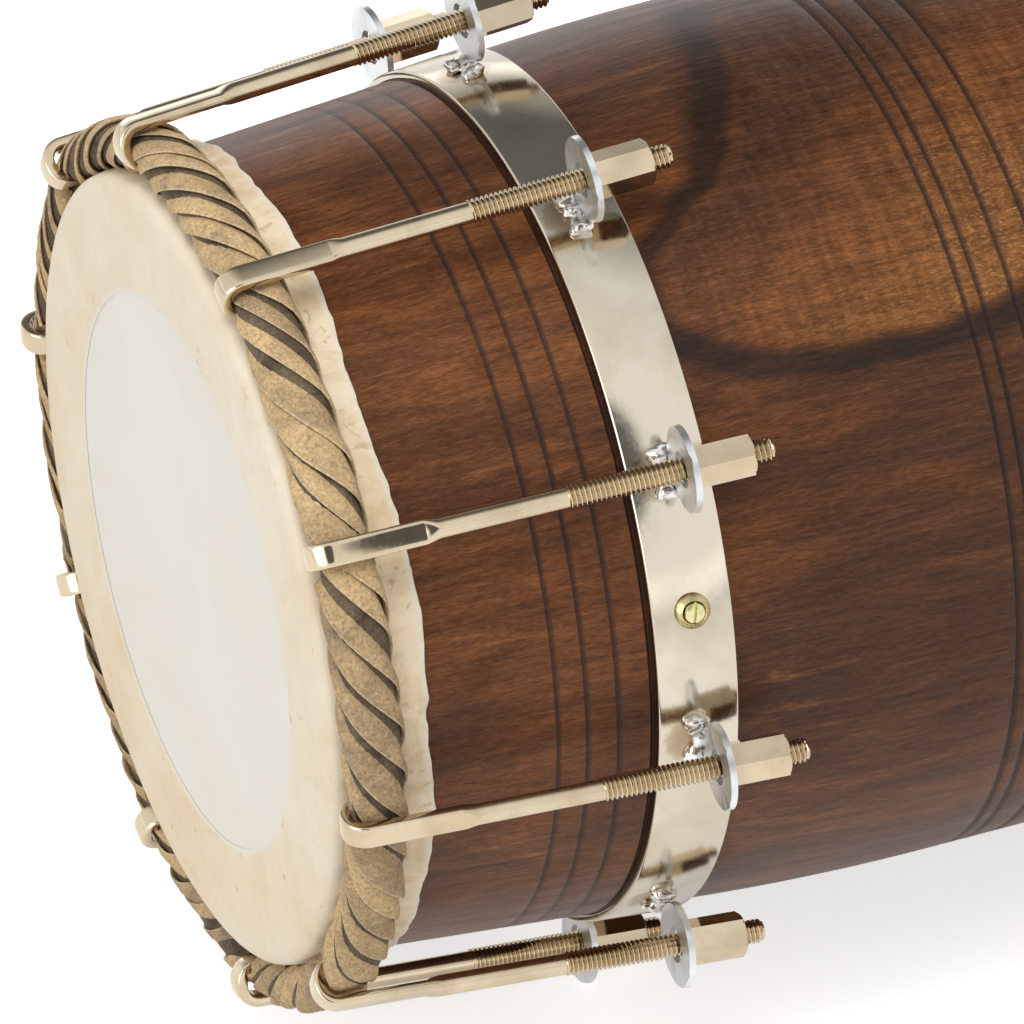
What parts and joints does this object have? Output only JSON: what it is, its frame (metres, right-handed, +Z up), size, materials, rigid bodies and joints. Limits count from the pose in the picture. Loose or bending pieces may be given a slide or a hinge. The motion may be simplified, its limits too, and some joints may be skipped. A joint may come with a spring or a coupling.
{
  "type": "dholak",
  "caption": "Barrel hand drum with a skin on each end, tightened by hooked rods and long nuts on two lugged metal bands.",
  "frame": {"origin": "on the floor under the middle of the drum as it lies on its four lowest lugs", "axes": "+X along the drum from the bass head to the treble head, +Z up, +Y across the drum to the far side"},
  "size_m": [0.429, 0.279, 0.266],
  "materials": {
    "sheesham_wood": "hand-rubbed satin",
    "cover_skin": "dry rawhide",
    "membrane_skin": "smooth scraped hide",
    "gajra_leather": "dry wound straps",
    "hoop_wire": "bare wire",
    "nickel_plate": "polished nickel",
    "band_steel": "polished, welded lugs",
    "yellow_zinc": "yellow passivated",
    "tuning_paste": "matt tar paste"
  },
  "bodies": {
    "drum": {"shell": "sheesham_wood", "bass_paste": "tuning_paste", "bass_membrane": "membrane_skin", "bass_cover_skin": "cover_skin", "bass_hoop": "hoop_wire", "bass_gajra": "gajra_leather", "bass_band": "band_steel", "bass_band_screw_1": "yellow_zinc", "bass_band_screw_2": "yellow_zinc", "bass_cup_washer_1": "yellow_zinc", "bass_cup_washer_2": "yellow_zinc", "treble_membrane": "membrane_skin", "treble_cover_skin": "cover_skin", "treble_hoop": "hoop_wire", "treble_gajra": "gajra_leather", "treble_band": "band_steel", "treble_band_screw_1": "yellow_zinc", "treble_band_screw_2": "yellow_zinc", "treble_cup_washer_1": "yellow_zinc", "treble_cup_washer_2": "yellow_zinc"},
    "bass_rod_01": {"bass_rod_01": "nickel_plate"},
    "bass_nut_01": {"bass_nut_01": "nickel_plate"},
    "bass_rod_02": {"bass_rod_02": "nickel_plate"},
    "bass_nut_02": {"bass_nut_02": "nickel_plate"},
    "bass_rod_03": {"bass_rod_03": "nickel_plate"},
    "bass_nut_03": {"bass_nut_03": "nickel_plate"},
    "bass_rod_04": {"bass_rod_04": "nickel_plate"},
    "bass_nut_04": {"bass_nut_04": "nickel_plate"},
    "bass_rod_05": {"bass_rod_05": "nickel_plate"},
    "bass_nut_05": {"bass_nut_05": "nickel_plate"},
    "bass_rod_06": {"bass_rod_06": "nickel_plate"},
    "bass_nut_06": {"bass_nut_06": "nickel_plate"},
    "bass_rod_07": {"bass_rod_07": "nickel_plate"},
    "bass_nut_07": {"bass_nut_07": "nickel_plate"},
    "bass_rod_08": {"bass_rod_08": "nickel_plate"},
    "bass_nut_08": {"bass_nut_08": "nickel_plate"},
    "bass_rod_09": {"bass_rod_09": "nickel_plate"},
    "bass_nut_09": {"bass_nut_09": "nickel_plate"},
    "bass_rod_10": {"bass_rod_10": "nickel_plate"},
    "bass_nut_10": {"bass_nut_10": "nickel_plate"},
    "treble_rod_01": {"treble_rod_01": "nickel_plate"},
    "treble_nut_01": {"treble_nut_01": "nickel_plate"},
    "treble_rod_02": {"treble_rod_02": "nickel_plate"},
    "treble_nut_02": {"treble_nut_02": "nickel_plate"},
    "treble_rod_03": {"treble_rod_03": "nickel_plate"},
    "treble_nut_03": {"treble_nut_03": "nickel_plate"},
    "treble_rod_04": {"treble_rod_04": "nickel_plate"},
    "treble_nut_04": {"treble_nut_04": "nickel_plate"},
    "treble_rod_05": {"treble_rod_05": "nickel_plate"},
    "treble_nut_05": {"treble_nut_05": "nickel_plate"},
    "treble_rod_06": {"treble_rod_06": "nickel_plate"},
    "treble_nut_06": {"treble_nut_06": "nickel_plate"},
    "treble_rod_07": {"treble_rod_07": "nickel_plate"},
    "treble_nut_07": {"treble_nut_07": "nickel_plate"},
    "treble_rod_08": {"treble_rod_08": "nickel_plate"},
    "treble_nut_08": {"treble_nut_08": "nickel_plate"},
    "treble_rod_09": {"treble_rod_09": "nickel_plate"},
    "treble_nut_09": {"treble_nut_09": "nickel_plate"},
    "treble_rod_10": {"treble_rod_10": "nickel_plate"},
    "treble_nut_10": {"treble_nut_10": "nickel_plate"}
  },
  "joints": [
    {"name": "bass_nut_01_turn", "type": "hinge", "parent": "drum", "child": "bass_nut_01", "pos_m": [-0.11617, -0.03965, 0.25505], "axis": [0.9965, -0.0259, 0.0797], "range_deg": [0, 2352.8]},
    {"name": "bass_rod_01_draw", "type": "slide", "parent": "drum", "child": "bass_rod_01", "axis": [-0.9965, 0.0259, -0.0797], "range_m": [0, 0.0083]},
    {"name": "bass_nut_02_turn", "type": "hinge", "parent": "drum", "child": "bass_nut_02", "pos_m": [-0.11617, -0.1038, 0.20844], "axis": [0.9965, -0.0678, 0.0493], "range_deg": [0, 2352.8]},
    {"name": "bass_rod_02_draw", "type": "slide", "parent": "drum", "child": "bass_rod_02", "axis": [-0.9965, 0.0678, -0.0493], "range_m": [0, 0.0083]},
    {"name": "bass_nut_03_turn", "type": "hinge", "parent": "drum", "child": "bass_nut_03", "pos_m": [-0.11617, -0.1283, 0.13302], "axis": [0.9965, -0.0838, 0], "range_deg": [0, 2352.8]},
    {"name": "bass_rod_03_draw", "type": "slide", "parent": "drum", "child": "bass_rod_03", "axis": [-0.9965, 0.0838, 0], "range_m": [0, 0.0083]},
    {"name": "bass_nut_04_turn", "type": "hinge", "parent": "drum", "child": "bass_nut_04", "pos_m": [-0.11617, -0.1038, 0.05761], "axis": [0.9965, -0.0678, -0.0493], "range_deg": [0, 2352.8]},
    {"name": "bass_rod_04_draw", "type": "slide", "parent": "drum", "child": "bass_rod_04", "axis": [-0.9965, 0.0678, 0.0493], "range_m": [0, 0.0083]},
    {"name": "bass_nut_05_turn", "type": "hinge", "parent": "drum", "child": "bass_nut_05", "pos_m": [-0.11617, -0.03965, 0.011], "axis": [0.9965, -0.0259, -0.0797], "range_deg": [0, 2352.8]},
    {"name": "bass_rod_05_draw", "type": "slide", "parent": "drum", "child": "bass_rod_05", "axis": [-0.9965, 0.0259, 0.0797], "range_m": [0, 0.0083]},
    {"name": "bass_nut_06_turn", "type": "hinge", "parent": "drum", "child": "bass_nut_06", "pos_m": [-0.11617, 0.03965, 0.011], "axis": [0.9965, 0.0259, -0.0797], "range_deg": [0, 2352.8]},
    {"name": "bass_rod_06_draw", "type": "slide", "parent": "drum", "child": "bass_rod_06", "axis": [-0.9965, -0.0259, 0.0797], "range_m": [0, 0.0083]},
    {"name": "bass_nut_07_turn", "type": "hinge", "parent": "drum", "child": "bass_nut_07", "pos_m": [-0.11617, 0.1038, 0.05761], "axis": [0.9965, 0.0678, -0.0493], "range_deg": [0, 2352.8]},
    {"name": "bass_rod_07_draw", "type": "slide", "parent": "drum", "child": "bass_rod_07", "axis": [-0.9965, -0.0678, 0.0493], "range_m": [0, 0.0083]},
    {"name": "bass_nut_08_turn", "type": "hinge", "parent": "drum", "child": "bass_nut_08", "pos_m": [-0.11617, 0.1283, 0.13302], "axis": [0.9965, 0.0838, 0], "range_deg": [0, 2352.8]},
    {"name": "bass_rod_08_draw", "type": "slide", "parent": "drum", "child": "bass_rod_08", "axis": [-0.9965, -0.0838, 0], "range_m": [0, 0.0083]},
    {"name": "bass_nut_09_turn", "type": "hinge", "parent": "drum", "child": "bass_nut_09", "pos_m": [-0.11617, 0.1038, 0.20844], "axis": [0.9965, 0.0678, 0.0493], "range_deg": [0, 2352.8]},
    {"name": "bass_rod_09_draw", "type": "slide", "parent": "drum", "child": "bass_rod_09", "axis": [-0.9965, -0.0678, -0.0493], "range_m": [0, 0.0083]},
    {"name": "bass_nut_10_turn", "type": "hinge", "parent": "drum", "child": "bass_nut_10", "pos_m": [-0.11617, 0.03965, 0.25505], "axis": [0.9965, 0.0259, 0.0797], "range_deg": [0, 2352.8]},
    {"name": "bass_rod_10_draw", "type": "slide", "parent": "drum", "child": "bass_rod_10", "axis": [-0.9965, -0.0259, -0.0797], "range_m": [0, 0.0083]},
    {"name": "treble_nut_01_turn", "type": "hinge", "parent": "drum", "child": "treble_nut_01", "pos_m": [0.11634, 0.03966, 0.25509], "axis": [-0.9928, 0.0371, 0.1143], "range_deg": [0, 2352.8]},
    {"name": "treble_rod_01_draw", "type": "slide", "parent": "drum", "child": "treble_rod_01", "axis": [0.9928, -0.0371, -0.1143], "range_m": [0, 0.0083]},
    {"name": "treble_nut_02_turn", "type": "hinge", "parent": "drum", "child": "treble_nut_02", "pos_m": [0.11634, 0.10384, 0.20846], "axis": [-0.9928, 0.0972, 0.0706], "range_deg": [0, 2352.8]},
    {"name": "treble_rod_02_draw", "type": "slide", "parent": "drum", "child": "treble_rod_02", "axis": [0.9928, -0.0972, -0.0706], "range_m": [0, 0.0083]},
    {"name": "treble_nut_03_turn", "type": "hinge", "parent": "drum", "child": "treble_nut_03", "pos_m": [0.11634, 0.12835, 0.13302], "axis": [-0.9928, 0.1201, 0], "range_deg": [0, 2352.8]},
    {"name": "treble_rod_03_draw", "type": "slide", "parent": "drum", "child": "treble_rod_03", "axis": [0.9928, -0.1201, 0], "range_m": [0, 0.0083]},
    {"name": "treble_nut_04_turn", "type": "hinge", "parent": "drum", "child": "treble_nut_04", "pos_m": [0.11634, 0.10384, 0.05758], "axis": [-0.9928, 0.0972, -0.0706], "range_deg": [0, 2352.8]},
    {"name": "treble_rod_04_draw", "type": "slide", "parent": "drum", "child": "treble_rod_04", "axis": [0.9928, -0.0972, 0.0706], "range_m": [0, 0.0083]},
    {"name": "treble_nut_05_turn", "type": "hinge", "parent": "drum", "child": "treble_nut_05", "pos_m": [0.11634, 0.03966, 0.01095], "axis": [-0.9928, 0.0371, -0.1143], "range_deg": [0, 2352.8]},
    {"name": "treble_rod_05_draw", "type": "slide", "parent": "drum", "child": "treble_rod_05", "axis": [0.9928, -0.0371, 0.1143], "range_m": [0, 0.0083]},
    {"name": "treble_nut_06_turn", "type": "hinge", "parent": "drum", "child": "treble_nut_06", "pos_m": [0.11634, -0.03966, 0.01095], "axis": [-0.9928, -0.0371, -0.1143], "range_deg": [0, 2352.8]},
    {"name": "treble_rod_06_draw", "type": "slide", "parent": "drum", "child": "treble_rod_06", "axis": [0.9928, 0.0371, 0.1143], "range_m": [0, 0.0083]},
    {"name": "treble_nut_07_turn", "type": "hinge", "parent": "drum", "child": "treble_nut_07", "pos_m": [0.11634, -0.10384, 0.05758], "axis": [-0.9928, -0.0972, -0.0706], "range_deg": [0, 2352.8]},
    {"name": "treble_rod_07_draw", "type": "slide", "parent": "drum", "child": "treble_rod_07", "axis": [0.9928, 0.0972, 0.0706], "range_m": [0, 0.0083]},
    {"name": "treble_nut_08_turn", "type": "hinge", "parent": "drum", "child": "treble_nut_08", "pos_m": [0.11634, -0.12835, 0.13302], "axis": [-0.9928, -0.1201, 0], "range_deg": [0, 2352.8]},
    {"name": "treble_rod_08_draw", "type": "slide", "parent": "drum", "child": "treble_rod_08", "axis": [0.9928, 0.1201, 0], "range_m": [0, 0.0083]},
    {"name": "treble_nut_09_turn", "type": "hinge", "parent": "drum", "child": "treble_nut_09", "pos_m": [0.11634, -0.10384, 0.20846], "axis": [-0.9928, -0.0972, 0.0706], "range_deg": [0, 2352.8]},
    {"name": "treble_rod_09_draw", "type": "slide", "parent": "drum", "child": "treble_rod_09", "axis": [0.9928, 0.0972, -0.0706], "range_m": [0, 0.0083]},
    {"name": "treble_nut_10_turn", "type": "hinge", "parent": "drum", "child": "treble_nut_10", "pos_m": [0.11634, -0.03966, 0.25509], "axis": [-0.9928, -0.0371, 0.1143], "range_deg": [0, 2352.8]},
    {"name": "treble_rod_10_draw", "type": "slide", "parent": "drum", "child": "treble_rod_10", "axis": [0.9928, 0.0371, -0.1143], "range_m": [0, 0.0083]}
  ],
  "couplings": [
    {"joint": "bass_nut_01_turn", "follows": "bass_rod_01_draw", "rad_per_m": 4947.4},
    {"joint": "bass_nut_02_turn", "follows": "bass_rod_02_draw", "rad_per_m": 4947.4},
    {"joint": "bass_nut_03_turn", "follows": "bass_rod_03_draw", "rad_per_m": 4947.4},
    {"joint": "bass_nut_04_turn", "follows": "bass_rod_04_draw", "rad_per_m": 4947.4},
    {"joint": "bass_nut_05_turn", "follows": "bass_rod_05_draw", "rad_per_m": 4947.4},
    {"joint": "bass_nut_06_turn", "follows": "bass_rod_06_draw", "rad_per_m": 4947.4},
    {"joint": "bass_nut_07_turn", "follows": "bass_rod_07_draw", "rad_per_m": 4947.4},
    {"joint": "bass_nut_08_turn", "follows": "bass_rod_08_draw", "rad_per_m": 4947.4},
    {"joint": "bass_nut_09_turn", "follows": "bass_rod_09_draw", "rad_per_m": 4947.4},
    {"joint": "bass_nut_10_turn", "follows": "bass_rod_10_draw", "rad_per_m": 4947.4},
    {"joint": "treble_nut_01_turn", "follows": "treble_rod_01_draw", "rad_per_m": 4947.4},
    {"joint": "treble_nut_02_turn", "follows": "treble_rod_02_draw", "rad_per_m": 4947.4},
    {"joint": "treble_nut_03_turn", "follows": "treble_rod_03_draw", "rad_per_m": 4947.4},
    {"joint": "treble_nut_04_turn", "follows": "treble_rod_04_draw", "rad_per_m": 4947.4},
    {"joint": "treble_nut_05_turn", "follows": "treble_rod_05_draw", "rad_per_m": 4947.4},
    {"joint": "treble_nut_06_turn", "follows": "treble_rod_06_draw", "rad_per_m": 4947.4},
    {"joint": "treble_nut_07_turn", "follows": "treble_rod_07_draw", "rad_per_m": 4947.4},
    {"joint": "treble_nut_08_turn", "follows": "treble_rod_08_draw", "rad_per_m": 4947.4},
    {"joint": "treble_nut_09_turn", "follows": "treble_rod_09_draw", "rad_per_m": 4947.4},
    {"joint": "treble_nut_10_turn", "follows": "treble_rod_10_draw", "rad_per_m": 4947.4}
  ]
}
